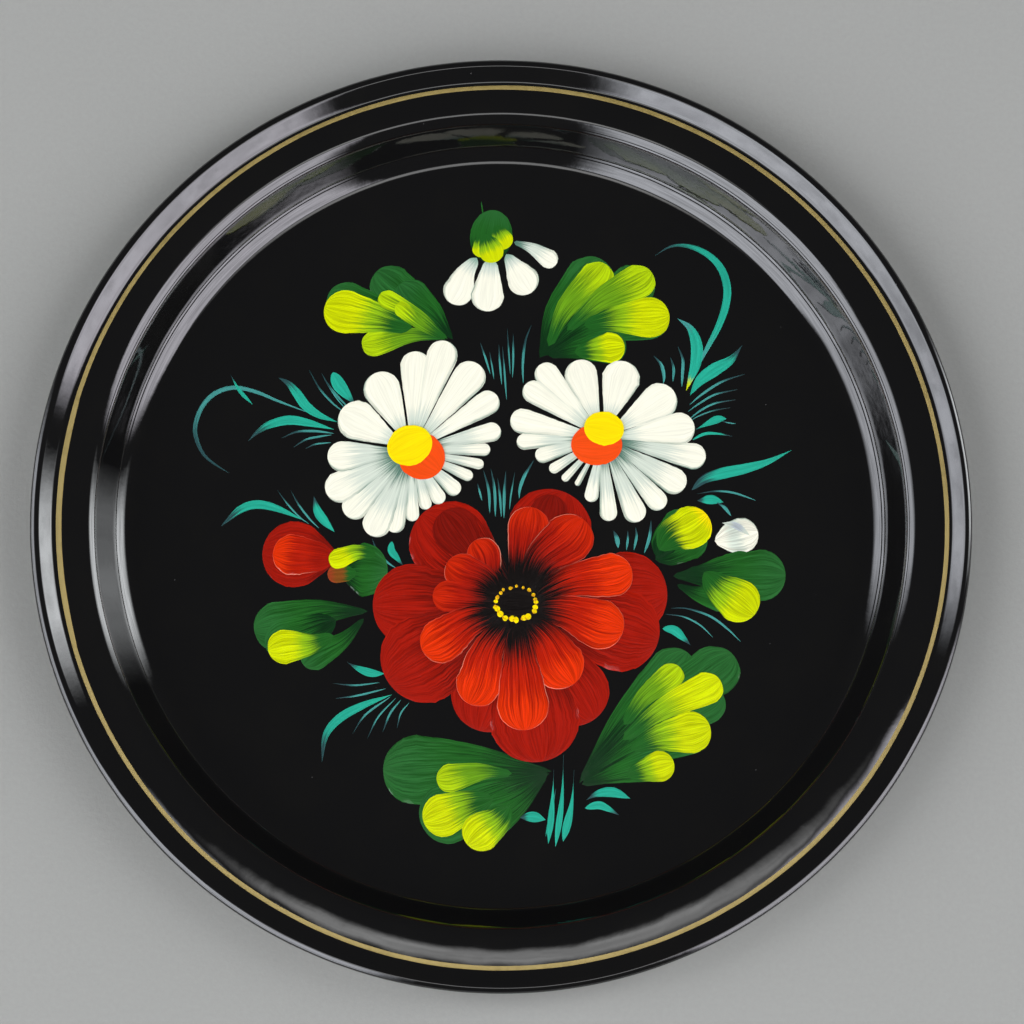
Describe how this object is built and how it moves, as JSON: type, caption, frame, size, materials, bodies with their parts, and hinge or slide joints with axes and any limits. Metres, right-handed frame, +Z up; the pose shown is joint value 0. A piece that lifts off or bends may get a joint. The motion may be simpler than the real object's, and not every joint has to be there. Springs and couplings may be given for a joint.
{
  "type": "round painted metal tray",
  "caption": "Round black-lacquered steel tray with a coved wall, crowned flange and wired rolled edge, painted with a gold border line and a bouquet of flowers.",
  "frame": {"origin": "centre of the flat underside that the tray rests on", "axes": "+Z up along the tray's axis, +Y towards the half-open daisy at the top of the bouquet, +X to the right of the bouquet"},
  "size_m": [0.25, 0.25, 0.0141],
  "materials": {
    "black_lacquer": "glossy black lacquer over steel, slightly uneven, with fine dust specks and hairline scratches",
    "edge_wire": "bare drawn steel wire, hidden in the rolled edge",
    "gold_paint": "satin gold-coloured paint line put on with a brush",
    "red_paint": "brushed dark red oil paint under clear varnish",
    "orange_red_paint": "brushed orange-red oil paint under clear varnish, shaded to black at the base of each petal",
    "white_paint": "brushed white oil paint under clear varnish, shaded with grey-green",
    "yellow_paint": "brushed yellow and orange oil paint under clear varnish",
    "green_paint": "brushed green oil paint under clear varnish, with yellow-green ends",
    "turquoise_paint": "thin turquoise oil paint strokes under clear varnish"
  },
  "bodies": {
    "root": {"tray_body": "black_lacquer", "rim_wire": "edge_wire", "gold_border_line": "gold_paint", "red_flower_back_petals": "red_paint", "red_flower_front_petals": "orange_red_paint", "red_flower_stamens": "yellow_paint", "daisy_left_petals": "white_paint", "daisy_left_eye": "yellow_paint", "daisy_right_petals": "white_paint", "daisy_right_eye": "yellow_paint", "half_daisy": "white_paint", "red_bud": "red_paint", "white_bud": "white_paint", "leaf_top_left": "green_paint", "leaf_top_right": "green_paint", "leaf_left": "green_paint", "leaf_right_upper": "green_paint", "leaf_right_lower": "green_paint", "leaf_bottom_right": "green_paint", "leaf_bottom_left": "green_paint", "curl_left": "turquoise_paint", "leaf_left_spray_upper": "turquoise_paint", "leaf_left_spray_lower": "turquoise_paint", "leaf_left_spray_bud": "turquoise_paint", "curl_right": "turquoise_paint", "leaf_right_spray_tall": "turquoise_paint", "leaf_right_spray_wide": "turquoise_paint", "leaf_right_spray_small": "turquoise_paint", "leaf_right_low_long": "turquoise_paint", "leaf_right_low_small": "turquoise_paint", "leaf_bud_spray_long": "turquoise_paint", "leaf_bud_spray_small": "turquoise_paint", "leaf_daisy_spray": "turquoise_paint", "leaf_low_spray_long": "turquoise_paint", "leaf_low_spray_small": "turquoise_paint", "leaf_flower_spray": "turquoise_paint", "stem_left": "turquoise_paint", "stem_middle": "turquoise_paint", "stem_right": "turquoise_paint", "stem_leaf_left": "turquoise_paint", "stem_leaf_upper": "turquoise_paint", "stem_leaf_lower": "turquoise_paint"}
  },
  "joints": []
}
